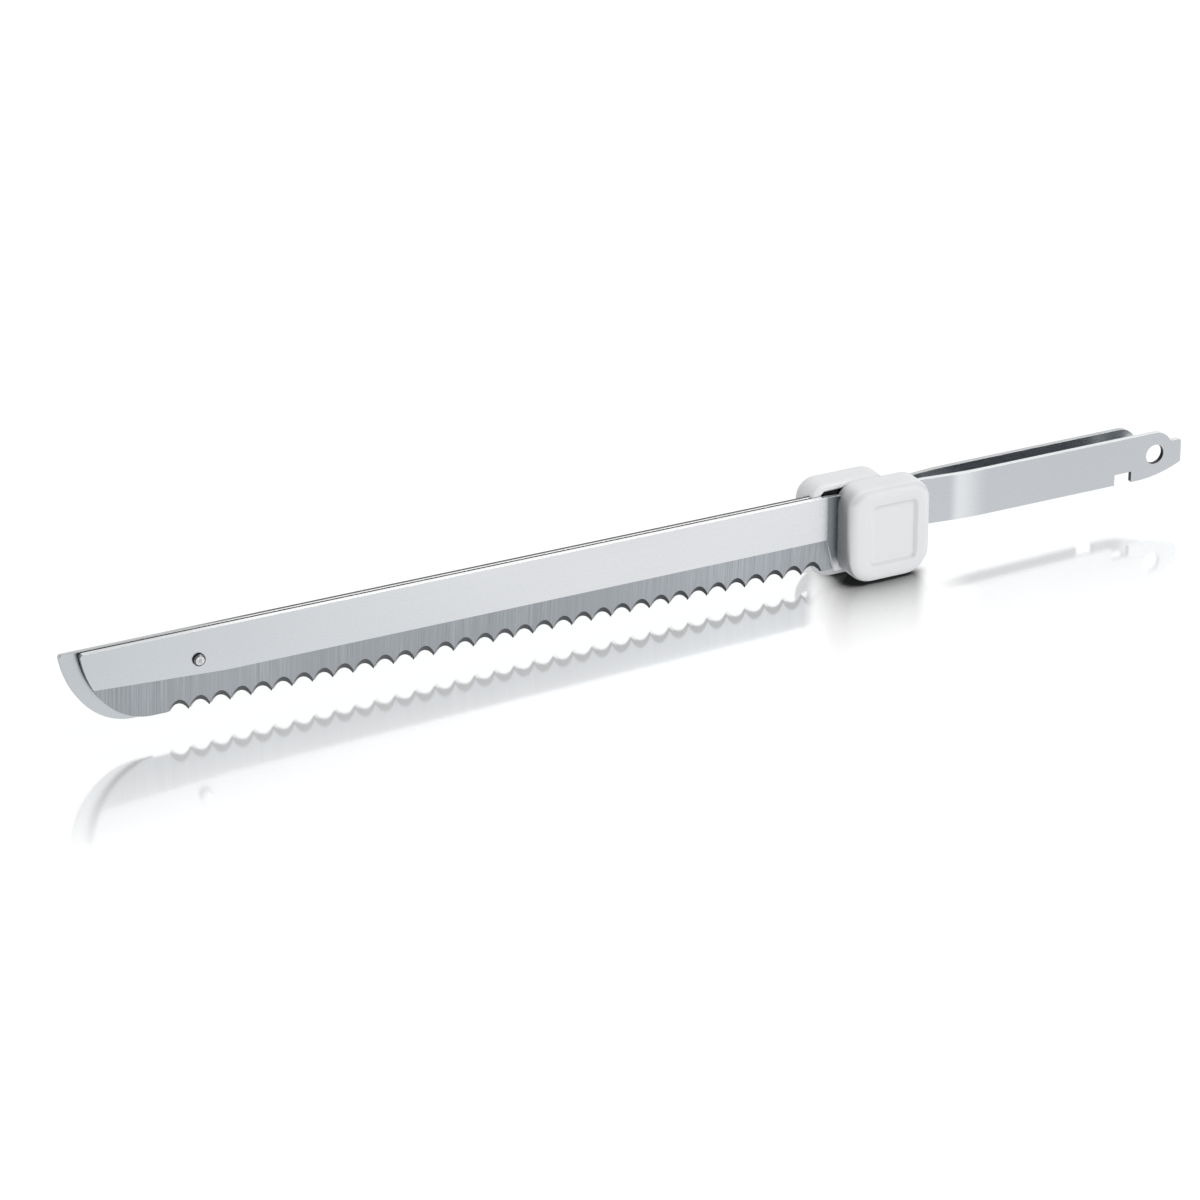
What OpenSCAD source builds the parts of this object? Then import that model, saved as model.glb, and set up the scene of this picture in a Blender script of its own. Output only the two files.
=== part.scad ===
// Blade set of an electric carving knife: two serrated blades that slide along each other.
// They share a headed rivet near the tip, and each carries a moulded guard and a bare tang.
// X runs from tip to tang, Z is up and the teeth point down. Y = 0 is the plane between the blades.
// The origin is on the table, under the middle of the set in the pose of the photograph.

/* [Blades] */
// Length from the tip to the line where the shank bends outwards
blade_length = 189.85; // [170:0.05:220]
// Height from the spine to the tooth tips
blade_height = 19.35; // [18:0.05:26]
// Thickness of the steel sheet
sheet = 1.2; // [0.9:0.05:1.5]
// Gap between the two blades' inner faces
blade_gap = 0.6; // [0.3:0.05:1.2]
// How far the rear blade stands ahead of the front one at rest
rear_lead = 4.3; // [0:0.1:6]

/* [Tip] */
// Length of the rounded tip
tip_reach = 17.5; // [12:0.5:20]
// Height of the tip curve's centre above the spine
tip_rise = 3.75; // [1:0.05:6]
// Radius of the small corner where the spine meets the tip
tip_corner_r = 0.8; // [0.3:0.1:2]
// How much shallower the plain edge before the teeth is than the tooth tips
tip_shallow = 0.4; // [0:0.1:1]

/* [Cutting edge] */
// Height of the ground bevel
bevel_height = 8.25; // [6:0.25:10]
// Steel left at the edge by the bevel
edge_land = 0.35; // [0.2:0.05:0.6]
// Rise of the bevel's upper line at the tip
bevel_lift = 1.9; // [0:0.1:3]
// Length over which that line rises
bevel_lift_length = 35; // [25:1:60]
// Extra length of the bevel at the edge, where the grind runs out
bevel_runout = 2.05; // [0:0.05:2.6]
// Distance between teeth
tooth_pitch = 5.09; // [4:0.01:6]
// Number of gullets
gullet_count = 33; // [20:1:33]
// Depth of a gullet on the inner face
gullet_depth = 1.8; // [1:0.1:2.5]
// Flat left at each tooth tip
tooth_flat = 0.15; // [0.1:0.05:0.5]
// Tilt of the gullet grind away from the blade's normal, in degrees
gullet_tilt = 64; // [50:1:68]
// Distance from the tip to the middle of the first gullet
first_gullet = 23.25; // [21:0.25:24]

/* [Shank] */
// Sideways offset of the shank inside the guard
guard_offset = 0.5; // [0.2:0.1:2]
// Length of the slope that makes that offset
guard_slope = 3; // [2:0.1:5]
// Further sideways offset of the tang
tang_offset = 1.4; // [0.8:0.1:2.5]
// Length of the slope from the guard to the tang
tang_slope = 12; // [10:0.5:16]
// Distance of that slope's start from the guard
tang_slope_start = 1; // [0:0.1:3]
// Length of the soft outer bend on each side of the slope's end
soft_bend = 4; // [1:0.5:6]
// Length of the full-height shank inside the guard
wide_shank = 12; // [8:0.5:14]

/* [Tang] */
// Length of a tang, from its guard to its end
tang_length = 73.3; // [60:0.1:90]
// Height of the tang
tang_height = 11.8; // [10:0.1:14]
// Drop from the spine to the tang's upper edge
tang_drop = 0.25; // [0.1:0.05:2]
// Diameter of the locking hole
hole_d = 5; // [3:0.1:5.2]
// Distance from the tang's end to the hole's centre
hole_inset = 7.5; // [7:0.1:9]
// Drop from the tang's upper edge to the hole's centre
hole_drop = 5.7; // [5:0.1:6]
// Width of the locking notch
notch_width = 4.8; // [2:0.1:5]
// Depth of the locking notch
notch_depth = 2.8; // [1.5:0.1:3.5]
// Distance from the tang's end to the notch's near wall
notch_inset = 14.1; // [13:0.1:20]
// Length of the step at the tang's end
step_length = 2.6; // [1:0.1:4]
// Depth of that step
step_depth = 2.9; // [1:0.1:3]
// Radius of the corner above the step
step_r = 5; // [0.5:0.1:5.5]
// Radius of the end's upper corner
end_r = 0.8; // [0.3:0.1:2]
// Length of the curved lower corner
corner_run = 13; // [8:0.5:13]
// Height of the curved lower corner
corner_rise = 2.9; // [1:0.1:4]

/* [Guards] */
// Distance from the front blade's bend line to its guard
front_setback = 2.65; // [0:0.05:4]
// Distance from the rear blade's bend line to its guard
rear_setback = 0.15; // [0:0.05:4]
// Length of a guard
guard_length = 22.2; // [20:0.1:28]
// Height of a guard above the spine
guard_rise = 2.45; // [1:0.05:4]
// Depth of a guard, from the plane between the blades
guard_depth = 8.4; // [6.5:0.1:12]
// Drop from the tooth tips to the guard's flat base
guard_drop = 2.2; // [1:0.1:3]
// Radius of the upper corners seen from the side
guard_top_r = 5; // [3.2:0.1:8]
// Radius of the lower corners seen from the side
guard_base_r = 6.5; // [3.2:0.1:8]
// Radius along the outer edges
guard_edge_r = 2.4; // [1:0.1:3]
// Radius along the edges next to the other guard
guard_inner_r = 1; // [0.3:0.1:1.5]
// Depth of the finger recess
recess_depth = 0.9; // [0.4:0.1:1.5]
// Corner radius of the finger recess
recess_r = 1.4; // [0.5:0.1:3]
// Distance from the guard's tang side to the recess
recess_inset = 4.1; // [3:0.1:5]
// Distance from the guard's tip side to the recess
recess_lead = 5.6; // [4:0.1:7]
// Distance from the guard's top to the recess
recess_drop = 4.1; // [3:0.1:6]
// Distance from the guard's base to the recess
recess_base = 4.5; // [3:0.1:6]
// Depth of the hollow in the guard's inner face, round the shank
hollow_depth = 1.75; // [1:0.05:1.8]
// Distance from the guard's ends to the hollow
hollow_inset = 2.9; // [2:0.1:4]
// Thickness of the wall above the hollow
hollow_wall = 1.4; // [0.8:0.1:2]
// Distance from the guard's base to the hollow
hollow_base = 2.8; // [2.4:0.1:5]
// Corner radius of the hollow
hollow_r = 2; // [0.5:0.1:3]
// Diameter of the anchor holes that the plastic fills
anchor_d = 3.2; // [2:0.1:4]
// Distance between the anchor holes
anchor_spacing = 9; // [6:0.5:10]
// Clearance between the two guards
slide_clearance = 0.1; // [0.05:0.05:0.3]

/* [Rivet] */
// Distance from the front blade's tip to the rivet
rivet_inset = 28.25; // [27:0.25:60]
// Drop from the spine to the rivet's centre
rivet_drop = 7.1; // [6:0.05:8]
// Diameter of the neck
neck_d = 2.2; // [1.5:0.1:2.6]
// Diameter of the button head on the front blade
button_d = 3; // [2.9:0.1:4]
// Diameter of the collar between the blades
collar_d = 3.2; // [2.8:0.1:3.6]
// Diameter of the retaining head behind the rear blade
retaining_d = 3.8; // [3.2:0.1:4]
// Height of both heads
head_height = 0.8; // [0.5:0.1:1.2]
// Bevel on the rim of both heads
rim_bevel = 0.3; // [0.1:0.05:0.4]
// Clearance of the neck in the front blade's hole
neck_clearance = 0.05; // [0.02:0.01:0.1]
// Clearance of the neck in the rear blade's slot
slot_clearance = 0.1; // [0.05:0.05:0.2]
// Clearance of a blade between the collar and a head
float_clearance = 0.05; // [0.02:0.01:0.1]
// Working travel to each side of the place where the tangs line up
half_stroke = 6; // [3:0.5:6]
// How far the rear blade stands ahead where it comes off the rivet
release_lead = 10; // [9:0.5:12]
// Diameter of the keyhole's wide end
keyhole_d = 4.4; // [4.2:0.1:5]

/* [Hidden] */
$fn = 64;

// Overrun of every cut past the surface it opens
over = 1;
// Steps along the tip curve, its corner and the soft bend
tip_steps = 28;
corner_steps = 6;
bend_steps = 6;

// Places along a blade, measured from its own tip
function guard_start(setback) = blade_length + setback;
function guard_end(setback) = guard_start(setback) + guard_length;
function blade_end(setback) = guard_end(setback) + tang_length;
function shank_end(setback) = guard_start(setback) + wide_shank;
function tang_bend_start(setback) = guard_end(setback) + tang_slope_start;
function tang_bend_end(setback) = tang_bend_start(setback) + tang_slope;

// Places across a blade, measured from the plane between the blades
inner_face = blade_gap / 2;
outer_face = inner_face + sheet;
shank_inner = inner_face + guard_offset;
tang_inner = shank_inner + tang_offset;
tang_outer = tang_inner + sheet;

// Heights along a blade, measured from its spine
bevel_top = bevel_height - blade_height;
tip_height = tip_rise + blade_height - tip_shallow;
tip_start = asin((tip_rise + tip_corner_r) / tip_height);
tang_top = -tang_drop;
tang_base = tang_top - tang_height;
guard_height = guard_drop + blade_height + guard_rise;

// Place of the set on its table
spine_z = guard_drop + blade_height;
front_tip_x = (rear_lead - blade_end(front_setback)) / 2;

// Lead of the rear blade where the two tangs line up
aligned_lead = rear_setback - front_setback;

// Radius of the curved lower corner, from its length and height
corner_r = (pow(corner_run, 2) + pow(corner_rise, 2)) / (2 * corner_rise);

// Radius of the gullet grind, from the chord and depth that it leaves on the inner face
gullet_chord = tooth_pitch - tooth_flat;
gullet_sag = gullet_depth * cos(gullet_tilt);
gullet_r = (pow(gullet_chord / 2, 2) + pow(gullet_sag, 2)) / (2 * gullet_sag);

// Moves from a blade's own places to the set's frame
module in_front() {
    translate([front_tip_x, 0, spine_z]) children();
}

module in_rear() {
    translate([front_tip_x - rear_lead, 0, spine_z]) mirror([0, 1, 0]) children();
}

// Turns a side view, drawn as length and height, into a slab from y = 0 out to -depth
module slab(depth) {
    rotate([90, 0, 0]) linear_extrude(height = depth) children();
}

// Turns an end view, drawn as depth and height, into a bar along X
module bar(from, to) {
    translate([from, 0, 0]) rotate([90, 0, 90]) linear_extrude(height = to - from) children();
}

// Straight pin along Y, from one depth to the next on the front side
module pin(d, from, to) {
    translate([0, -from, 0]) rotate([90, 0, 0]) cylinder(d = d, h = to - from);
}

// Head of the rivet, with a bevelled rim away from the blade
module head(d) {
    straight = head_height - rim_bevel;
    cylinder(d = d, h = straight);
    translate([0, 0, straight]) cylinder(d1 = d, d2 = d - 2 * rim_bevel, h = rim_bevel);
}

// Rectangle from a corner, with only its far upper corner rounded
module one_round(length, height, r) {
    square([length - r, height]);
    square([length, height - r]);
    translate([length - r, height - r])
        intersection() {
            circle(r = r);
            square(r);
        }
}

// Rectangle from a corner, with all its corners rounded
module rounded_rectangle(length, height, r) {
    translate([r, 0]) square([length - 2 * r, height]);
    translate([0, r]) square([length, height - 2 * r]);
    for (x = [r, length - r], y = [r, height - r]) translate([x, y]) circle(r = r);
}

// Point on the oval that rounds the tip, which starts just under the spine's corner
function tip_point(angle) = [
    tip_reach * (cos(tip_start) - cos(angle)),
    tip_rise - tip_height * sin(angle)
];

// Outline of the tip from the spine round to the lowest point
function tip_outline() =
    let (corner = tip_point(tip_start) + [tip_corner_r, 0])
    concat(
        [for (i = [0 : corner_steps - 1])
            corner + tip_corner_r * [cos(90 + 90 * i / corner_steps), sin(90 + 90 * i / corner_steps)]],
        [for (i = [0 : tip_steps]) tip_point(tip_start + (90 - tip_start) * i / tip_steps)]
    );

// Side view of the narrow tang, with a rounded step on top of its end and a curved lower corner
module tang_outline(setback) {
    from = guard_start(setback);
    length = blade_end(setback) - from;
    translate([from, tang_base])
        difference() {
            union() {
                one_round(length, tang_height - step_depth, end_r);
                one_round(length - step_length, tang_height, step_r);
            }
            translate([length - corner_run, 0])
                difference() {
                    translate([0, -over]) square([corner_run + over, corner_rise + 2 * over]);
                    translate([0, corner_r]) circle(r = corner_r);
                }
        }
}

// Side view of a blade with its shank and tang
module blade_outline(setback) {
    polygon(concat(
        tip_outline(),
        [
            [first_gullet, tip_shallow - blade_height],
            [first_gullet, -blade_height],
            [shank_end(setback), -blade_height],
            [shank_end(setback), 0]
        ]
    ));
    tang_outline(setback);
}

// Point on the inner face at the soft bend, from share 0 at its start to 1 at its end
function soft_point(setback, share) = [
    tang_bend_end(setback) + soft_bend * (2 * share - 1),
    -tang_inner + tang_offset * soft_bend / tang_slope * pow(1 - share, 2)
];

// Top view of a blade's inner face along its bends
function inner_path(setback) = concat(
    [
        [-over, -inner_face],
        [blade_length, -inner_face],
        [blade_length + guard_slope, -shank_inner],
        [tang_bend_start(setback), -shank_inner]
    ],
    [for (i = [0 : bend_steps]) soft_point(setback, i / bend_steps)],
    [[blade_end(setback) + over, -tang_inner]]
);

// Bent sheet seen from above, as tall as the blade
module bent_sheet(setback) {
    path = inner_path(setback);
    last = len(path) - 1;
    translate([0, 0, -blade_height - over])
        linear_extrude(height = blade_height + 2 * over)
            polygon(concat(path, [for (i = [0 : last]) path[last - i] - [0, sheet]]));
}

// Wedge that the grind takes off the outer face, with its upper line along Y = -outer_face
module grind_wedge(from, to) {
    taper = (sheet - edge_land) / bevel_height;
    deep = bevel_height + 2 * over;
    bar(from, to)
        polygon([
            [-outer_face, 0],
            [-outer_face + taper * deep, -deep],
            [-outer_face - over, -deep],
            [-outer_face - over, 0]
        ]);
}

// Straight grind that runs out on a slant, and the rising grind at the tip
module bevel_cut() {
    deep = bevel_height + 3 * over;
    intersection() {
        translate([0, 0, bevel_top]) grind_wedge(-over, blade_length + bevel_runout + over);
        translate([0, over, 0])
            slab(outer_face + 3 * over)
                polygon([
                    [-2 * over, 0],
                    [-2 * over, bevel_top - deep],
                    [blade_length + bevel_runout * deep / bevel_height, bevel_top - deep],
                    [blade_length, bevel_top],
                    [blade_length, 0]
                ]);
    }
    translate([bevel_lift_length, 0, bevel_top])
        rotate([0, atan(bevel_lift / bevel_lift_length), 0])
            grind_wedge(-bevel_lift_length - 2 * over, 0);
}

// Row of scallops, each ground by a wheel tilted up towards the outer face
module gullets() {
    reach = gullet_r / cos(gullet_tilt);
    span = 4 * blade_height;
    for (i = [0 : gullet_count - 1])
        translate([first_gullet + i * tooth_pitch, -inner_face, gullet_depth - blade_height - reach])
            rotate([90 - gullet_tilt, 0, 0])
                cylinder(r = gullet_r, h = span, center = true);
}

// Two pins that tie the moulded guard to the steel, from a depth outwards
module anchors(setback, from) {
    middle = guard_start(setback) + guard_length / 2;
    for (side = [-1, 1])
        translate([middle + side * anchor_spacing / 2, 0, (tang_top + tang_base) / 2])
            pin(anchor_d, from, tang_outer + over);
}

// Bent, trimmed and bevelled steel, before the teeth and the tang's locking cuts
module blank(setback) {
    difference() {
        intersection() {
            bent_sheet(setback);
            slab(tang_outer + over) blade_outline(setback);
        }
        anchors(setback, 0);
        bevel_cut();
    }
}

// Finished blade in its own places, on the front side
module blade(setback) {
    length = blade_end(setback);
    difference() {
        blank(setback);
        gullets();
        translate([length - hole_inset, 0, tang_top - hole_drop]) pin(hole_d, 0, tang_outer + over);
        translate([length - notch_inset - notch_width, -tang_outer - over, tang_base - over])
            cube([notch_width, sheet + 2 * over, notch_depth + over]);
    }
}

// Slot for the rivet's neck, ending in the wide hole that lets the retaining head through
module keyhole() {
    near = rivet_inset + aligned_lead - half_stroke;
    far = rivet_inset + release_lead;
    slot_width = neck_d + 2 * slot_clearance;
    translate([0, 0, -rivet_drop]) {
        translate([near, 0, 0]) pin(slot_width, 0, outer_face + over);
        translate([far, 0, 0]) pin(keyhole_d, 0, outer_face + over);
        translate([near, -outer_face - over, -slot_width / 2])
            cube([far - near, outer_face + over, slot_width]);
    }
}

module front_blade() {
    color("silver")
        in_front()
            difference() {
                blade(front_setback);
                translate([rivet_inset, 0, -rivet_drop])
                    pin(neck_d + 2 * neck_clearance, 0, outer_face + over);
            }
}

module rear_blade() {
    color("silver")
        in_rear()
            difference() {
                blade(rear_setback);
                keyhole();
            }
}

module tip_rivet() {
    head_face = outer_face + float_clearance;
    collar_face = inner_face - float_clearance;
    color("lightgray")
        in_front()
            translate([rivet_inset, 0, -rivet_drop]) {
                pin(neck_d, -head_face, head_face);
                pin(collar_d, -collar_face, collar_face);
                translate([0, -head_face, 0]) rotate([90, 0, 0]) head(button_d);
                translate([0, head_face, 0]) rotate([-90, 0, 0]) head(retaining_d);
            }
}

// Section of a guard's rounded rim, reaching out from a line inside the guard
module rim(reach) {
    depth = guard_depth - slide_clearance / 2;
    translate([0, -guard_depth])
        intersection() {
            translate([0, depth]) mirror([0, 1]) one_round(reach, depth, guard_edge_r);
            one_round(reach, depth, guard_inner_r);
        }
}

// Upper or lower end of a guard, with its corners and outer edge rounded, upwards from z = 0
module guard_cap(r) {
    bar(r, guard_length - r) mirror([1, -1]) rim(r);
    for (side = [0, 1])
        translate([guard_length / 2, 0, 0])
            mirror([side, 0, 0])
                translate([guard_length / 2 - r, 0, 0])
                    rotate([-90, -90, 0])
                        rotate_extrude(angle = 90)
                            rim(r);
}

// Rounded block of a guard, with its flat base at z = 0
module guard_block() {
    top = guard_height - guard_top_r;
    translate([0, 0, guard_base_r])
        linear_extrude(height = top - guard_base_r)
            intersection() {
                rim(guard_length);
                translate([guard_length, 0]) mirror([1, 0]) rim(guard_length);
            }
    translate([0, 0, top]) guard_cap(guard_top_r);
    translate([guard_length, 0, guard_base_r]) rotate([0, 180, 0]) guard_cap(guard_base_r);
}

// Shallow recess for a finger in the guard's outer face
module finger_recess() {
    length = guard_length - recess_lead - recess_inset;
    height = guard_height - recess_base - recess_drop;
    translate([recess_lead, recess_depth - guard_depth, recess_base])
        slab(recess_depth + over)
            rounded_rectangle(length, height, recess_r);
}

// Hollow that bares the steel on the guard's inner face, with the anchors left standing in it
module hollow(setback) {
    length = guard_length - 2 * hollow_inset;
    height = guard_height - hollow_base - hollow_wall;
    difference() {
        translate([guard_start(setback) + hollow_inset, 0, hollow_base - guard_drop - blade_height])
            slab(slide_clearance / 2 + hollow_depth)
                rounded_rectangle(length, height, hollow_r);
        anchors(setback, shank_inner);
    }
}

// Guard moulded round the shank of a blade, in the blade's own places
module guard(setback) {
    difference() {
        translate([guard_start(setback), 0, -blade_height - guard_drop])
            difference() {
                guard_block();
                finger_recess();
            }
        hollow(setback);
        blank(setback);
    }
}

module front_guard() {
    color("white") in_front() guard(front_setback);
}

module rear_guard() {
    color("white") in_rear() guard(rear_setback);
}

front_blade();
rear_blade();
tip_rivet();
front_guard();
rear_guard();
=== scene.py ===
"""Looks of the carving knife blade set: steel, moulded guards, rivet, floor, light and camera."""
import math

import bmesh
import bpy
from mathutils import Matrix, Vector

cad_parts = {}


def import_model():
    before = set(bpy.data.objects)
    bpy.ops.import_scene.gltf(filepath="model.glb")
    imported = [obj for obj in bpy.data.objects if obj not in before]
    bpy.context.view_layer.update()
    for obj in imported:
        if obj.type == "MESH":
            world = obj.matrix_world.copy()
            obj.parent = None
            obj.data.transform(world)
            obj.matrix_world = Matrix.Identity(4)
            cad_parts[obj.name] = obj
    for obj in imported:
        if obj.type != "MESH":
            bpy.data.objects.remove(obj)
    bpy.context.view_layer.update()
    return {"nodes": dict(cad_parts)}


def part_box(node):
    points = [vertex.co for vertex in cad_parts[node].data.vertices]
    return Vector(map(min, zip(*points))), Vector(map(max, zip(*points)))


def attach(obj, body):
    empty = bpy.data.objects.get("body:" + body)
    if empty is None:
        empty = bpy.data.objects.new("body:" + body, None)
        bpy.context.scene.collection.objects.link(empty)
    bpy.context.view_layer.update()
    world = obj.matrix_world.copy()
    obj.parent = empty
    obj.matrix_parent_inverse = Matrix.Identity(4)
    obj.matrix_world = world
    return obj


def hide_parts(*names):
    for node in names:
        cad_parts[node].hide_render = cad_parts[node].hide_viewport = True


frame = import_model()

MM = 0.001

# Places of the blades in the frame, in millimetres
FRONT_BEND_X = 48.0
REAR_BEND_X = 43.7
FRONT_HOLE_X = 138.65
REAR_HOLE_X = 131.85
FRONT_GUARD_X = 50.65
REAR_GUARD_X = 43.85
GUARD_LENGTH = 22.2

# Rounding of a guard and the recess in its outer face, in millimetres
GUARD_TOP_R = 5.0
GUARD_BASE_R = 6.5
GUARD_EDGE_R = 2.4
GUARD_INNER_R = 1.0
RECESS_SIZE = (12.5, 15.4)
RECESS_INSET = 4.1
RECESS_DROP = 4.1
RECESS_DEPTH = 0.9
RECESS_R = 1.4
RECESS_WALL = 0.95
RECESS_BORDER = 0.25

# Hollow in a guard's inner face and the anchors in it, in millimetres
HOLLOW_INSET = 2.9
HOLLOW_BASE = 2.8
HOLLOW_WALL = 1.4
HOLLOW_FLOOR = 1.8
HOLLOW_R = 2.0
ANCHOR_R = 1.6
ANCHOR_SHIFT = 4.5
ANCHOR_Z = 15.4
SHANK_INNER = 0.8

# Facets of the round parts
RECESS_STEPS = 12
ANCHOR_SIDES = 32
RIVET_SIDES = 72

# Floor: its tilt along X, where it touches the guards, and the strengths of its shade, glow and mirror
FLOOR_TILT = 0.0140
FLOOR_TOUCH_X = 66.35
FLOOR_GLOW = 0.895
CONTACT_SHADE = 1.82
CONTACT_FALL = 1.1
BLADE_MIRROR = 0.60
TANG_MIRROR = 0.44
# Shift in X per millimetre of Y that follows the picture's upright lines on the floor
SLANT = 0.575

# Light that the white surroundings give to the part, and to rays that see them straight
WORLD_LIGHT = 0.45
WORLD_SEEN = 1.0

CAMERA_PLACE = (-501.75, -956.99, 508.24)
CAMERA_AIM = (-12.585, -1.5, 7.694)


class Graph:
    """A material's nodes, with short calls for the ones used here."""

    def __init__(self, name):
        self.material = bpy.data.materials.new(name)
        self.material.use_nodes = True
        self.tree = self.material.node_tree
        self.tree.nodes.clear()
        self.output = self.tree.nodes.new("ShaderNodeOutputMaterial")

    def node(self, kind, **inputs):
        made = self.tree.nodes.new("ShaderNode" + kind)
        for name, value in inputs.items():
            self.feed(made.inputs[name.replace("_", " ")], value)
        return made

    def feed(self, socket, value):
        if isinstance(value, bpy.types.NodeSocket):
            self.tree.links.new(value, socket)
        else:
            socket.default_value = value

    def math(self, operation, *values, clamp=False):
        made = self.tree.nodes.new("ShaderNodeMath")
        made.operation = operation
        made.use_clamp = clamp
        for socket, value in zip(made.inputs, values):
            self.feed(socket, value)
        return made.outputs[0]

    def step(self, value, low, high):
        """0 below low and 1 above high, with a smooth turn between them."""
        made = self.tree.nodes.new("ShaderNodeMapRange")
        made.interpolation_type = "SMOOTHSTEP"
        self.feed(made.inputs["Value"], value)
        self.feed(made.inputs["From Min"], low)
        self.feed(made.inputs["From Max"], high)
        return made.outputs["Result"]

    def band(self, value, low, high, soft):
        """1 between low and high, falling to 0 over soft on each side."""
        rise = self.step(value, low - soft, low + soft)
        fall = self.step(value, high - soft, high + soft)
        return self.math("SUBTRACT", rise, fall, clamp=True)

    def step_mm(self, value, low, high):
        return self.step(value, low * MM, high * MM)

    def band_mm(self, value, low, high, soft):
        return self.band(value, low * MM, high * MM, soft * MM)

    def times(self, *values):
        result = values[0]
        for value in values[1:]:
            result = self.math("MULTIPLY", result, value)
        return result

    def rest_of(self, share):
        """What a share leaves of 1."""
        return self.math("SUBTRACT", 1.0, share)

    def changed(self, share, change):
        """1 where the share is 0, and 1 plus the change where it is 1."""
        return self.math("MULTIPLY_ADD", share, change, 1.0)

    def mix(self, share, a, b, blend="MIX"):
        made = self.tree.nodes.new("ShaderNodeMix")
        made.data_type = "RGBA"
        made.blend_type = blend
        colours = [s for s in made.inputs if s.type == "RGBA"]
        self.feed(made.inputs["Factor"], share)
        self.feed(colours[0], a)
        self.feed(colours[1], b)
        return next(s for s in made.outputs if s.type == "RGBA")

    def toned(self, colour, tone):
        return self.mix(1.0, colour, tone, "MULTIPLY")

    def stretched(self, vector, scale):
        made = self.tree.nodes.new("ShaderNodeVectorMath")
        made.operation = "MULTIPLY"
        self.feed(made.inputs[0], vector)
        self.feed(made.inputs[1], scale)
        return made.outputs[0]

    def noise(self, vector, detail=2.0, roughness=0.5):
        made = self.node("TexNoise", Vector=vector, Scale=1.0, Detail=detail, Roughness=roughness)
        return made.outputs["Factor"] if "Factor" in made.outputs else made.outputs["Fac"]

    def around(self, value, middle, spread):
        """Turns a noise value of 0 to 1 into middle plus or minus spread."""
        return self.math("MULTIPLY_ADD", value, 2 * spread, middle - spread)

    def bump(self, height, distance, strength, normal=None):
        made = self.node("Bump", Height=height, Distance=distance * MM, Strength=strength)
        if normal is not None:
            self.feed(made.inputs["Normal"], normal)
        return made.outputs["Normal"]

    def blend(self, share, first, second):
        """Shader that goes from the first to the second as the share goes from 0 to 1."""
        made = self.tree.nodes.new("ShaderNodeMixShader")
        self.feed(made.inputs[0], share)
        self.feed(made.inputs[1], first)
        self.feed(made.inputs[2], second)
        return made.outputs[0]

    def finished(self, shader):
        self.feed(self.output.inputs["Surface"], shader)
        return self.material


def grey(value, blue=0.0):
    return (value - blue, value, value + blue, 1.0)


# FLAT_AT_TIP and FLAT_AT_GUARD are the two ends of a painted light gradient along the flats.
FLAT_AT_TIP = (0.508, 0.536, 0.560, 1)
FLAT_AT_GUARD = (0.662, 0.675, 0.693, 1)
BEVEL_GREY = (0.343, 0.364, 0.389, 1)
# The slope's two tones are painted shade.
SLOPE_AT_BEND = (0.165, 0.183, 0.198, 1)
SLOPE_AT_GUARD = (0.070, 0.080, 0.088, 1)
TANG_GREY = (0.340, 0.364, 0.390, 1)
PLASTIC_WHITE = (0.815, 0.828, 0.842, 1)
MIRROR_TINT = (0.950, 0.965, 0.978, 1)
DEEP_SHADE = grey(0.02)

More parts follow.
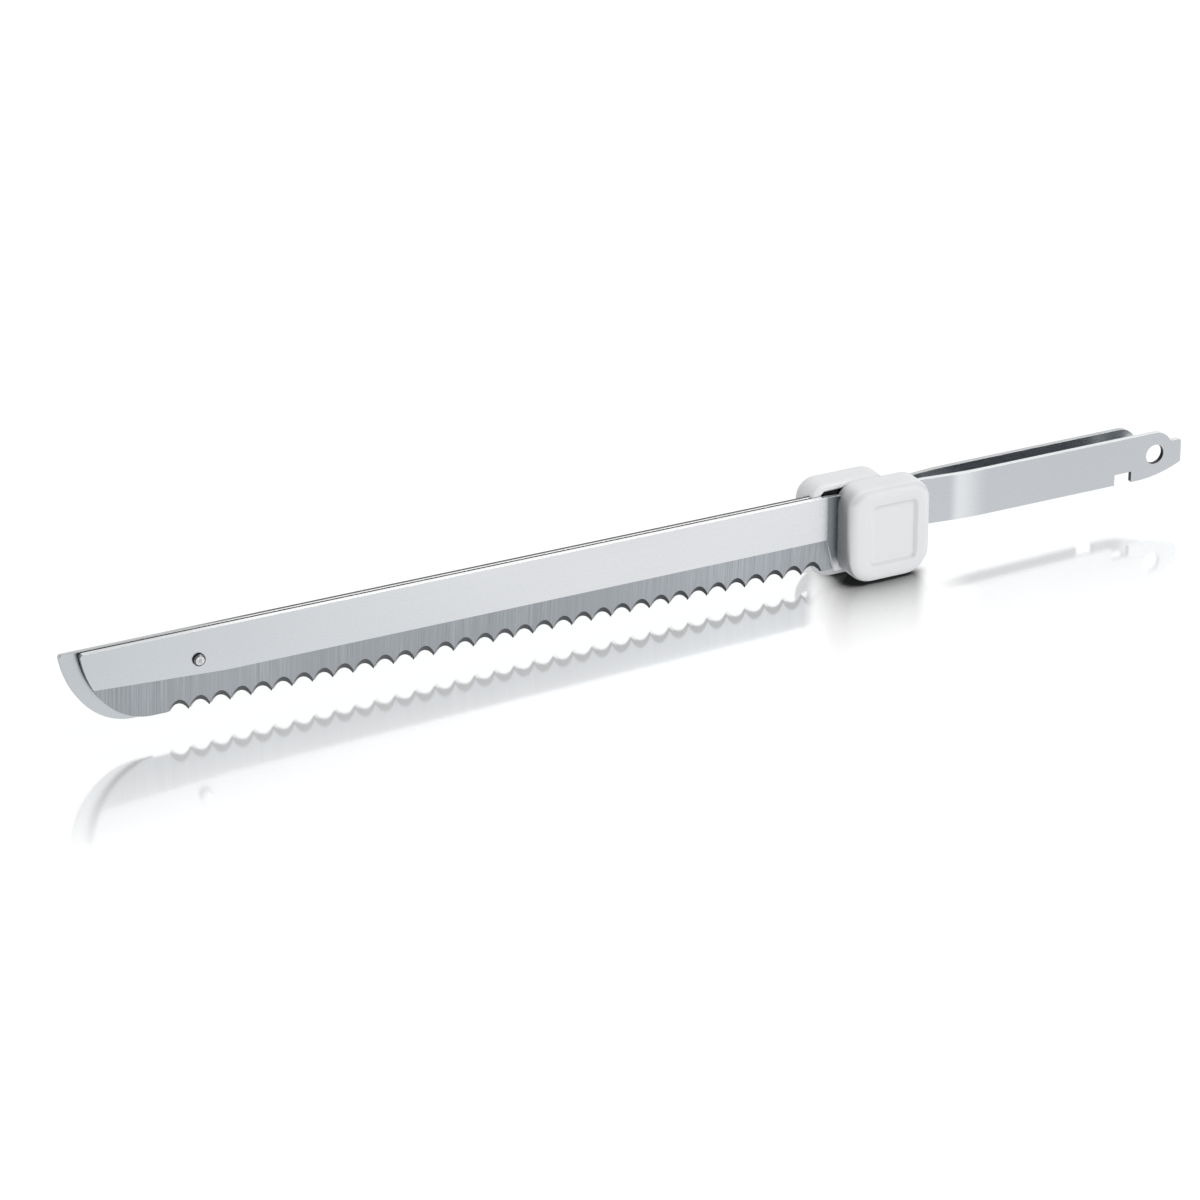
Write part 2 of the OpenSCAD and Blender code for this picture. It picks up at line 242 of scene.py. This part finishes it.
def steel(name, outer, bend_x, guard_x, hole_x):
    """Blade steel: satin flats with a painted light gradient, a cross-ground bevel with painted shade bands,
    gullets with painted shade, a slope with painted shade and a painted highlight on the tang bend.

    outer is the sign of the blade's outer side in Y.
    """
    g = Graph(name)
    coordinates = g.node("TexCoord")
    place = coordinates.outputs["Object"]
    x, y, z = g.node("SeparateXYZ", Vector=place).outputs
    nx, ny, nz = g.node("SeparateXYZ", Vector=coordinates.outputs["Normal"]).outputs
    back = g.math("MULTIPLY", nx, -1.0)
    down = g.math("MULTIPLY", nz, -1.0)
    across = g.math("ABSOLUTE", ny)
    facing = g.math("MULTIPLY", ny, outer)
    outwards = g.math("MULTIPLY", y, outer)

    # Which ground or cut surface a point is on
    bevel = g.times(g.band(down, 0.06, 0.2, 0.015), g.step(across, 0.9, 0.95))
    gullet = g.times(g.band(down, 0.28, 0.6, 0.03), g.step(across, 0.5, 0.6))
    spine = g.step(nz, 0.8, 0.9)
    low_edge = g.times(g.step(down, 0.55, 0.7), g.step_mm(z, 4, 3))
    run_out = g.times(g.step(back, 0.6, 0.8), g.band_mm(x, bend_x - 1, bend_x + 4, 0.5),
                      g.step_mm(z, 11.5, 10.5))
    edge_on = g.step(across, 0.6, 0.4)
    tip_wall = g.times(g.step(back, 0.2, 0.4), edge_on, g.step_mm(x, -100, -102))
    notch = g.times(g.band_mm(x, hole_x - 11.8, hole_x - 6.4, 0.1), g.step_mm(z, 9.6, 9.8),
                    g.step_mm(z, 13, 12.8))
    hole = g.times(g.band_mm(x, hole_x - 2.7, hole_x + 2.7, 0.1), g.band_mm(z, 12.9, 18.3, 0.1))
    cut_wall = g.times(edge_on, g.math("MAXIMUM", notch, hole))
    round_corner = g.math("MULTIPLY_ADD", g.step_mm(z, 7, 2), -2 * MM, x)
    moulded_in = g.band_mm(round_corner, guard_x + 0.8, guard_x + GUARD_LENGTH - 0.6, 0.4)

    # Fine lines: along the blade on the flats, across it on the bevel
    satin = g.noise(g.stretched(place, (45.0, 300.0, 5200.0)), detail=3.0)
    satin_broad = g.noise(g.stretched(place, (18.0, 100.0, 900.0)), detail=2.0)
    clouds = g.noise(g.stretched(place, (22.0, 10.0, 60.0)), detail=1.0)
    lines = g.noise(g.stretched(place, (3200.0, 120.0, 38.0)), detail=3.0, roughness=0.6)
    lines_fine = g.noise(g.stretched(place, (9000.0, 200.0, 120.0)), detail=2.0)
    patches = g.step(g.noise(g.stretched(place, (75.0, 0.0, 45.0)), detail=1.0), 0.35, 0.65)

    # Painted light and shade on the flats: darker towards the tip, lighter towards the guard, and 5.5 per
    # cent darker on the inner faces.
    flat_colour = g.mix(g.step_mm(x, -165, -10), FLAT_AT_TIP, FLAT_AT_GUARD)
    flat_colour = g.toned(flat_colour, g.times(
        g.around(satin, 1.0, 0.014), g.around(satin_broad, 1.0, 0.014), g.around(clouds, 1.0, 0.04),
        g.changed(g.step(facing, 0.0, -0.5), -0.055)))

    line_depth = g.math("MULTIPLY_ADD", patches, 0.8, 0.3)
    streak = g.changed(g.math("SUBTRACT", lines, 0.5), line_depth)
    bevel_colour = g.toned(BEVEL_GREY, g.times(
        streak, g.around(lines_fine, 1.0, 0.08),
        # Painted shade and light along the bevel: darker towards the tip and along its middle, lighter
        # between 10 and 34 mm.
        g.changed(g.step_mm(x, -90, -135), -0.08),
        g.changed(g.band_mm(x, -95, -8, 12), -0.09),
        g.changed(g.band_mm(x, 10, 34, 6), 0.06)))

    colour = g.mix(bevel, flat_colour, bevel_colour)
    # Painted shade: the gullets are drawn dark, darker towards the guard.
    gullet_shade = g.mix(g.step_mm(x, -60, 40), grey(0.085, 0.004), grey(0.050, 0.004))
    colour = g.mix(gullet, colour, gullet_shade)
    colour = g.mix(low_edge, colour, grey(0.62, 0.01))
    # Painted highlight: the wall where the grind runs out by the bend is drawn near-white and not metallic.
    colour = g.mix(run_out, colour, grey(0.95))

    # Painted shade on the slope next to the guard, lighter low down, and a painted highlight on the soft bend
    # of the tang
    sides = g.times(g.rest_of(spine), g.rest_of(cut_wall))
    slope = g.times(g.step_mm(x, bend_x - 0.15, bend_x + 0.15), g.step_mm(x, 54, 52), g.rest_of(bevel),
                    g.rest_of(run_out), sides, g.step(facing, 0.5, 0.7))
    slope_colour = g.mix(g.step_mm(x, bend_x, bend_x + 3), SLOPE_AT_BEND, SLOPE_AT_GUARD)
    low_part = g.changed(g.step_mm(z, 6.5, 2.5), -0.8)
    colour = g.mix(g.times(slope, low_part, 0.95), colour, slope_colour)
    at_tang = g.step_mm(x, 66, 72)
    tang = g.times(at_tang, sides)
    colour = g.mix(g.times(tang, 0.55), colour, TANG_GREY)
    bend_highlight = g.times(g.step_mm(x, hole_x - 58.2, hole_x - 55.2), g.step_mm(x, hole_x - 47.0, hole_x - 55.2))
    colour = g.mix(g.times(tang, bend_highlight, 0.8), colour, grey(0.73, 0.014))

    # Top edges, painted light and shade: bright along the blade, grey at the tip and the tang, with painted
    # shade on the rear blade's far half
    at_tip = g.step_mm(x, -95, -125)
    if outer > 0:
        near_half = g.mix(at_tip, grey(0.86), grey(0.42, 0.005))
        far_half = g.mix(at_tip, grey(0.08, 0.003), grey(0.52, 0.006))
        far_half = g.mix(at_tang, far_half, grey(0.55, 0.008))
        top = g.mix(g.step_mm(outwards, 0.65, 0.85), near_half, far_half)
    else:
        top = g.mix(at_tang, g.mix(at_tip, grey(0.94), grey(0.66, 0.01)), grey(0.80, 0.01))
    colour = g.mix(spine, colour, top)

    rough = g.math("ADD", g.around(satin_broad, 0.27, 0.05), g.times(bevel, g.around(lines, 0.08, 0.05)))
    height = g.math("ADD", g.times(satin, g.rest_of(bevel), 0.2), g.times(lines, bevel, 1.3))
    rounded = g.node("Bevel", Radius=0.10 * MM)
    rounded.samples = 4
    metal = g.node("BsdfPrincipled", Base_Color=colour, Metallic=g.rest_of(run_out), Roughness=rough,
                   Normal=g.bump(height, 0.006, 0.6, rounded.outputs["Normal"]))

    # Cut walls, the gap at the tip and the steel inside a guard are in deep shade and catch no glint
    black = g.node("BsdfDiffuse", Color=DEEP_SHADE)
    seam = g.band_mm(outwards, 0.75, 1.15, 0.12)
    tip_shade = 0.92 if outer < 0 else 0.45
    tip_black = g.times(tip_wall, g.math("MULTIPLY_ADD", seam, -0.45, tip_shade))
    share = g.math("MAXIMUM", g.math("MAXIMUM", tip_black, cut_wall), moulded_in)
    return g.finished(g.blend(g.times(share, 0.92), metal.outputs["BSDF"], black.outputs[0]))


def rivet_steel():
    """Turned steel: a light worn face, a chamfer with painted shade in dark grey and a wall with painted
    shade in black.
    """
    g = Graph("rivet_steel")
    place = g.node("TexCoord").outputs["Object"]
    x, y, z = g.node("SeparateXYZ", Vector=place).outputs
    radius = g.math("SQRT", g.math("ADD", g.times(x, x), g.times(z, z)))
    spread = g.node("CombineXYZ", X=g.times(radius, 9000.0), Y=g.times(y, 9000.0))
    rings = g.noise(spread.outputs[0], detail=2.0)
    wear = g.noise(g.stretched(place, (1800.0, 1800.0, 1800.0)), detail=3.0)
    reach = g.math("ABSOLUTE", y)
    face_colour = g.mix(g.step_mm(radius, 0.70, 0.35), grey(0.66, 0.008), grey(0.42, 0.008))
    # Painted shade: the chamfer below the face is drawn dark grey.
    colour = g.mix(g.step_mm(reach, 2.30, 2.33), grey(0.13, 0.005), face_colour)
    colour = g.toned(colour, g.times(g.around(rings, 1.0, 0.12), g.around(wear, 1.0, 0.55)))
    metal = g.node("BsdfPrincipled", Base_Color=colour, Metallic=1.0, Roughness=g.around(wear, 0.30, 0.08),
                   Normal=g.bump(rings, 0.01, 0.5))
    # Painted shade: the wall below the chamfer is drawn black.
    black = g.node("BsdfDiffuse", Color=DEEP_SHADE)
    return g.finished(g.blend(g.step_mm(reach, 2.03, 2.00), metal.outputs["BSDF"], black.outputs[0]))


def guard_plastic(name, depth_of_shade):
    """White moulded plastic with a faint skin and painted shade next to the blade and along its top rim."""
    g = Graph(name)
    place = g.node("TexCoord").outputs["Object"]
    clouds = g.noise(g.stretched(place, (120.0, 120.0, 120.0)), detail=2.0)
    skin = g.noise(g.stretched(place, (3200.0, 3200.0, 3200.0)), detail=2.0)
    flow = g.noise(g.stretched(place, (420.0, 420.0, 90.0)), detail=3.0)
    tone = g.times(g.around(clouds, 1.0, 0.02), g.around(flow, 1.0, 0.015))
    # Painted shade darkens the colour: by occlusion next to the blade, on the end that faces the blade, and
    # along the top rim.
    corner = g.node("AmbientOcclusion", Distance=14 * MM)
    corner.samples = 12
    reach = g.math("ABSOLUTE", g.node("SeparateXYZ", Vector=place).outputs["Y"])
    nx, ny, nz = g.node("SeparateXYZ", Vector=g.node("TexCoord").outputs["Normal"]).outputs
    across = g.math("ABSOLUTE", ny)
    hidden = g.times(g.step(corner.outputs["AO"], 1.0, 0.60), g.step_mm(reach, 7.8, 7.0),
                     g.step(across, 0.95, 0.40))
    blade_side = g.times(g.step(nx, -0.25, -0.80), g.step_mm(reach, 8.2, 5.0), 0.40)
    rim = g.times(g.band(across, 0.45, 0.85, 0.15), g.step(nz, 0.2, 0.5), 0.22)
    painted_shade = g.math("ADD", g.math("ADD", hidden, blade_side), rim, clamp=True)
    colour = g.toned(g.toned(PLASTIC_WHITE, tone), g.changed(painted_shade, -depth_of_shade))
    rough = g.math("ADD", g.around(clouds, 0.36, 0.05), g.around(flow, 0.0, 0.04))
    shader = g.node("BsdfPrincipled", Base_Color=colour, Roughness=rough, Specular_IOR_Level=0.45,
                    Normal=g.bump(skin, 0.012, 0.35))
    return g.finished(shader.outputs["BSDF"])


def mesh_piece(name, mesh, body, node, place=(0, 0, 0)):
    """Adds a mesh in the frame, lets it ride on a body, and lets it stand for a CAD node."""
    data = bpy.data.meshes.new(name)
    mesh.to_mesh(data)
    mesh.free()
    piece = bpy.data.objects.new(name, data)
    piece.location = place
    bpy.context.scene.collection.objects.link(piece)
    for face in data.polygons:
        face.use_smooth = True
    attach(piece, body)
    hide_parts(node)
    return piece


def rounded_ring(box, inset, top_r, base_r, arc=14, edge=6):
    """Points round a rectangle with rounded corners, the same number at every inset."""
    x0, z0, x1, z1 = box
    x0, z0, x1, z1 = x0 + inset, z0 + inset, x1 - inset, z1 - inset
    top_r, base_r = max(top_r - inset, 0.05), max(base_r - inset, 0.05)
    corners = [(x1 - base_r, z0 + base_r, base_r, -90), (x1 - top_r, z1 - top_r, top_r, 0),
               (x0 + top_r, z1 - top_r, top_r, 90), (x0 + base_r, z0 + base_r, base_r, 180)]
    points = []
    for i, (cx, cz, r, start) in enumerate(corners):
        for k in range(arc + 1):
            angle = math.radians(start + 90 * k / arc)
            points.append((cx + r * math.cos(angle), cz + r * math.sin(angle)))
        nx, nz, nr, nstart = corners[(i + 1) % 4]
        ahead = math.radians(nstart)
        there = (nx + nr * math.cos(ahead), nz + nr * math.sin(ahead))
        here = points[-1]
        for k in range(1, edge):
            points.append(tuple(a + (b - a) * k / edge for a, b in zip(here, there)))
    return points


def shell(rings):
    """Closed mesh through rings of equal length, each a list of points, with flat ends."""
    mesh = bmesh.new()
    loops = [[mesh.verts.new(point) for point in ring] for ring in rings]
    count = len(loops[0])
    for a, b in zip(loops, loops[1:]):
        for i in range(count):
            j = (i + 1) % count
            mesh.faces.new((a[i], a[j], b[j], b[i]))
    mesh.faces.new(list(reversed(loops[0])))
    mesh.faces.new(loops[-1])
    bmesh.ops.recalc_face_normals(mesh, faces=mesh.faces)
    return mesh


def circle(radius, count):
    turns = [2 * math.pi * i / count for i in range(count)]
    return [(radius * math.cos(turn), radius * math.sin(turn)) for turn in turns]


def quarter_turn(steps):
    """Sine and cosine at even steps from 0 to 90 degrees."""
    turns = [math.radians(90 * k / steps) for k in range(steps + 1)]
    return [(math.sin(turn), math.cos(turn)) for turn in turns]


def guard(node, body, side):
    """Soft-edged guard with a recess in its outer face. side is -1 for the front one and 1 for the rear."""
    low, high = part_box(node)
    box = (low.x / MM, low.z / MM, high.x / MM, high.z / MM)
    near, far = sorted((abs(low.y) / MM, abs(high.y) / MM))

    def ring(inset, depth, outline=box, top_r=GUARD_TOP_R, base_r=GUARD_BASE_R):
        return [Vector((px, side * depth, pz)) * MM for px, pz in rounded_ring(outline, inset, top_r, base_r)]

    # From the hollow's floor out to the inner face, each ring as its inset and depth
    hollow = (box[0] + HOLLOW_INSET, box[1] + HOLLOW_BASE, box[2] - HOLLOW_INSET, box[3] - HOLLOW_WALL)
    hollow_rings = [(0.9, HOLLOW_FLOOR), (0.08, HOLLOW_FLOOR), (0.0, HOLLOW_FLOOR - 0.08), (0.0, near + 0.12),
                    (-0.04, near + 0.04), (-0.12, near)]
    rings = [ring(inset, depth, hollow, HOLLOW_R, HOLLOW_R) for inset, depth in hollow_rings]
    rings.append(ring(GUARD_INNER_R + 0.05, near))

    # Round the inner edge, along the sides and round the outer edge
    for sine, cosine in quarter_turn(8):
        rings.append(ring(GUARD_INNER_R * (1 - sine), near + GUARD_INNER_R * (1 - cosine)))
    start = near + GUARD_INNER_R
    middle = far - GUARD_EDGE_R
    for share in (0.25, 0.5, 0.75):
        rings.append(ring(0.0, start + (middle - start) * share))
    for sine, cosine in quarter_turn(14):
        rings.append(ring(GUARD_EDGE_R * (1 - cosine), middle + GUARD_EDGE_R * sine))
    rings.append(ring(GUARD_EDGE_R + RECESS_BORDER, far))

    # Down the soft wall of the recess to its floor
    right = box[2] - RECESS_INSET
    upper = box[3] - RECESS_DROP
    recess = (right - RECESS_SIZE[0], upper - RECESS_SIZE[1], right, upper)
    for k in range(RECESS_STEPS + 1):
        share = k / RECESS_STEPS
        depth = far - RECESS_DEPTH * (3 * share ** 2 - 2 * share ** 3)
        rings.append(ring(-RECESS_BORDER + RECESS_WALL * share, depth, recess, RECESS_R, RECESS_R))
    rings.append(ring(RECESS_WALL - RECESS_BORDER + 0.4, far - RECESS_DEPTH, recess, RECESS_R, RECESS_R))
    mesh = shell(rings)
    for shift in (-ANCHOR_SHIFT, ANCHOR_SHIFT):
        anchor(mesh, (box[0] + box[2]) / 2 + shift, side)
    return mesh_piece(node + "_moulding", mesh, body, node)


def anchor(mesh, x, side):
    """Adds the plastic that fills one hole of the shank, flush with the steel's inner face."""
    circles = []
    for depth in (SHANK_INNER, HOLLOW_FLOOR + 0.3):
        circles.append([mesh.verts.new(Vector((x + across, side * depth, ANCHOR_Z + up)) * MM)
                        for across, up in circle(ANCHOR_R, ANCHOR_SIDES)])
    a, b = circles
    faces = [mesh.faces.new(list(reversed(a))), mesh.faces.new(b)]
    for i in range(ANCHOR_SIDES):
        j = (i + 1) % ANCHOR_SIDES
        faces.append(mesh.faces.new((a[i], a[j], b[j], b[i])))
    bmesh.ops.recalc_face_normals(mesh, faces=faces)


def rivet(node, body):
    """Turned pin: flat button with a chamfer in front, neck, collar and a retaining head behind."""
    low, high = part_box(node)
    centre = (low + high) / 2
    front = low.y / MM
    end = -front

    # Radius and Y of each ring, from the button's face to the retaining head's
    button = [(0.0, front), (0.96, front), (1.03, front + 0.02), (1.09, front + 0.08), (1.43, front + 0.31),
              (1.49, front + 0.36), (1.50, front + 0.42), (1.50, front + 0.76), (1.46, front + 0.80),
              (1.15, front + 0.80), (1.10, front + 0.84)]
    collar = [(1.10, -0.30), (1.13, -0.26), (1.55, -0.25), (1.60, -0.20), (1.60, 0.20), (1.55, 0.25),
              (1.13, 0.26), (1.10, 0.30)]
    head = [(1.10, end - 0.84), (1.15, end - 0.80), (1.86, end - 0.80), (1.90, end - 0.76),
            (1.90, end - 0.36), (1.87, end - 0.30), (1.63, end - 0.03), (1.55, end), (0.0, end)]
    mesh = bmesh.new()
    loops = []
    for radius, y in button + collar + head:
        points = circle(radius, RIVET_SIDES) if radius else [(0, 0)]
        loops.append([mesh.verts.new(Vector((across, y, up)) * MM) for across, up in points])
    for a, b in zip(loops, loops[1:]):
        for i in range(RIVET_SIDES):
            j = (i + 1) % RIVET_SIDES
            if len(a) == 1:
                mesh.faces.new((a[0], b[j], b[i]))
            elif len(b) == 1:
                mesh.faces.new((a[i], a[j], b[0]))
            else:
                mesh.faces.new((a[i], a[j], b[j], b[i]))
    bmesh.ops.recalc_face_normals(mesh, faces=mesh.faces)
    return mesh_piece("turned_rivet", mesh, body, node, (centre.x, 0, centre.z))


def dress(piece, material):
    piece.data.materials.clear()
    piece.data.materials.append(material)


front_steel = steel("front_steel", -1.0, FRONT_BEND_X, FRONT_GUARD_X, FRONT_HOLE_X)
rear_steel = steel("rear_steel", 1.0, REAR_BEND_X, REAR_GUARD_X, REAR_HOLE_X)
front_plastic = guard_plastic("front_plastic", 0.66)
rear_plastic = guard_plastic("rear_plastic", 0.08)
dress(frame["nodes"]["front_blade"], front_steel)
dress(frame["nodes"]["rear_blade"], rear_steel)
dress(guard("front_guard", "front_blade_body", -1), front_plastic)
dress(guard("rear_guard", "rear_blade_body", 1), rear_plastic)
dress(rivet("tip_rivet", "rivet_body"), rivet_steel())


def seen_directly(g):
    """1 for rays from the camera, from shiny surfaces or through glass, and 0 for the light's bounces."""
    path = g.node("LightPath").outputs
    seen = g.math("MAXIMUM", path["Is Camera Ray"], path["Is Glossy Ray"])
    return g.math("MAXIMUM", seen, path["Is Transmission Ray"])


def floor_material():
    """White table: a contact shade in front of the guards and a faint mirror close to the blades."""
    g = Graph("white_floor")
    place = g.node("TexCoord").outputs["Object"]
    x, y, z = g.node("SeparateXYZ", Vector=place).outputs
    seen = seen_directly(g)
    camera_ray = g.node("LightPath").outputs["Is Camera Ray"]
    slanted = g.math("MULTIPLY_ADD", y, -SLANT, x)

    # Shade from what stands close by, kept to the guards' place
    contact = g.node("AmbientOcclusion", Distance=45 * MM)
    contact.samples = 16
    in_front = g.math("MAXIMUM", g.step_mm(y, -4, -9), g.step_mm(x, 62, 54))
    beside = g.times(g.rest_of(in_front), g.step_mm(x, 76, 68), 0.3)
    by_guards = g.times(g.step_mm(slanted, 42, 57), g.step_mm(slanted, 78, 73),
                        g.math("ADD", in_front, beside))
    covered = g.times(g.rest_of(contact.outputs["AO"]), by_guards, camera_ray, CONTACT_SHADE)
    shade = g.math("SUBTRACT", 1.0, g.math("POWER", covered, CONTACT_FALL), clamp=True)
    pores = g.noise(g.stretched(place, (60.0, 60.0, 60.0)), detail=3.0)
    shade = g.times(shade, g.around(pores, 1.0, 0.004))

    # White seen straight, and a lighter diffuse floor for the light's bounces
    tone = g.times(g.math("MULTIPLY_ADD", seen, -0.55, 0.80), shade)
    colour = g.node("CombineColor", Red=tone, Green=tone, Blue=tone)
    white = g.node("BsdfDiffuse", Color=colour.outputs[0])
    glow = g.node("Emission", Color=(1, 1, 1, 1), Strength=g.times(seen, shade, FLOOR_GLOW))
    lit = g.node("AddShader")
    g.feed(lit.inputs[0], white.outputs[0])
    g.feed(lit.inputs[1], glow.outputs[0])

    # Mirror: fades away from the blades, weak where the shade is, and weaker under the tangs
    mirror = g.node("BsdfGlossy", Color=MIRROR_TINT, Roughness=0.10)
    by_tang = g.step_mm(slanted, 78, 90)
    past_blade = g.changed(g.step_mm(slanted, 42.5, 46.5), -0.8)
    blade_share = g.times(g.step_mm(y, -66, -6), past_blade, BLADE_MIRROR)
    tang_share = g.times(g.step_mm(y, -85, -10), TANG_MIRROR)
    share = g.math("ADD", g.times(blade_share, g.rest_of(by_tang)), g.times(tang_share, by_tang))
    share = g.times(share, camera_ray, g.step_mm(y, 70, 12))
    return g.finished(g.blend(share, lit.outputs[0], mirror.outputs[0]))


def floor():
    mesh = bmesh.new()
    bmesh.ops.create_grid(mesh, x_segments=8, y_segments=8, size=3.0)
    data = bpy.data.meshes.new("floor")
    mesh.to_mesh(data)
    mesh.free()
    data.materials.append(floor_material())
    piece = bpy.data.objects.new("floor", data)
    piece.location = (0, 0, -FLOOR_TOUCH_X * FLOOR_TILT * MM)
    piece.rotation_euler = (0, -math.atan(FLOOR_TILT), 0)
    bpy.context.scene.collection.objects.link(piece)


def world():
    made = bpy.data.worlds.new("studio")
    made.use_nodes = True
    tree = made.node_tree
    background = tree.nodes["Background"]
    path = tree.nodes.new("ShaderNodeLightPath")
    seen = tree.nodes.new("ShaderNodeMath")
    seen.operation = "MAXIMUM"
    tree.links.new(path.outputs["Is Camera Ray"], seen.inputs[0])
    tree.links.new(path.outputs["Is Glossy Ray"], seen.inputs[1])
    strength = tree.nodes.new("ShaderNodeMath")
    strength.operation = "MULTIPLY_ADD"
    tree.links.new(seen.outputs[0], strength.inputs[0])
    strength.inputs[1].default_value = WORLD_SEEN - WORLD_LIGHT
    strength.inputs[2].default_value = WORLD_LIGHT
    tree.links.new(strength.outputs[0], background.inputs["Strength"])
    background.inputs["Color"].default_value = (1, 1, 1, 1)
    bpy.context.scene.world = made


def lamp(name, place, size, power, in_metal=True):
    """Round lamp that points at the origin. in_metal says whether shiny surfaces reflect it."""
    data = bpy.data.lights.new(name, "AREA")
    data.shape = "DISK"
    data.size = size
    data.energy = power
    made = bpy.data.objects.new(name, data)
    made.location = place
    made.visible_glossy = in_metal
    made.rotation_mode = "QUATERNION"
    made.rotation_quaternion = (-Vector(place)).to_track_quat("-Z", "Y")
    bpy.context.scene.collection.objects.link(made)


def camera():
    data = bpy.data.cameras.new("camera")
    data.lens = 152.55
    data.sensor_width = 36.0
    data.clip_start = 0.05
    data.clip_end = 50.0
    made = bpy.data.objects.new("camera", data)
    aim = Vector(CAMERA_AIM) * MM
    made.location = Vector(CAMERA_PLACE) * MM
    made.rotation_mode = "QUATERNION"
    made.rotation_quaternion = (aim - made.location).to_track_quat("-Z", "Y")
    bpy.context.scene.collection.objects.link(made)
    bpy.context.scene.camera = made


floor()
world()
lamp("key", (0.75, -0.85, 1.15), 0.9, 7.8)
lamp("top", (0.05, 0.35, 1.30), 0.8, 4.3)
lamp("front", (-0.15, -1.2, 0.14), 0.6, 3.6, in_metal=False)
camera()
bpy.context.scene.view_settings.view_transform = "Standard"
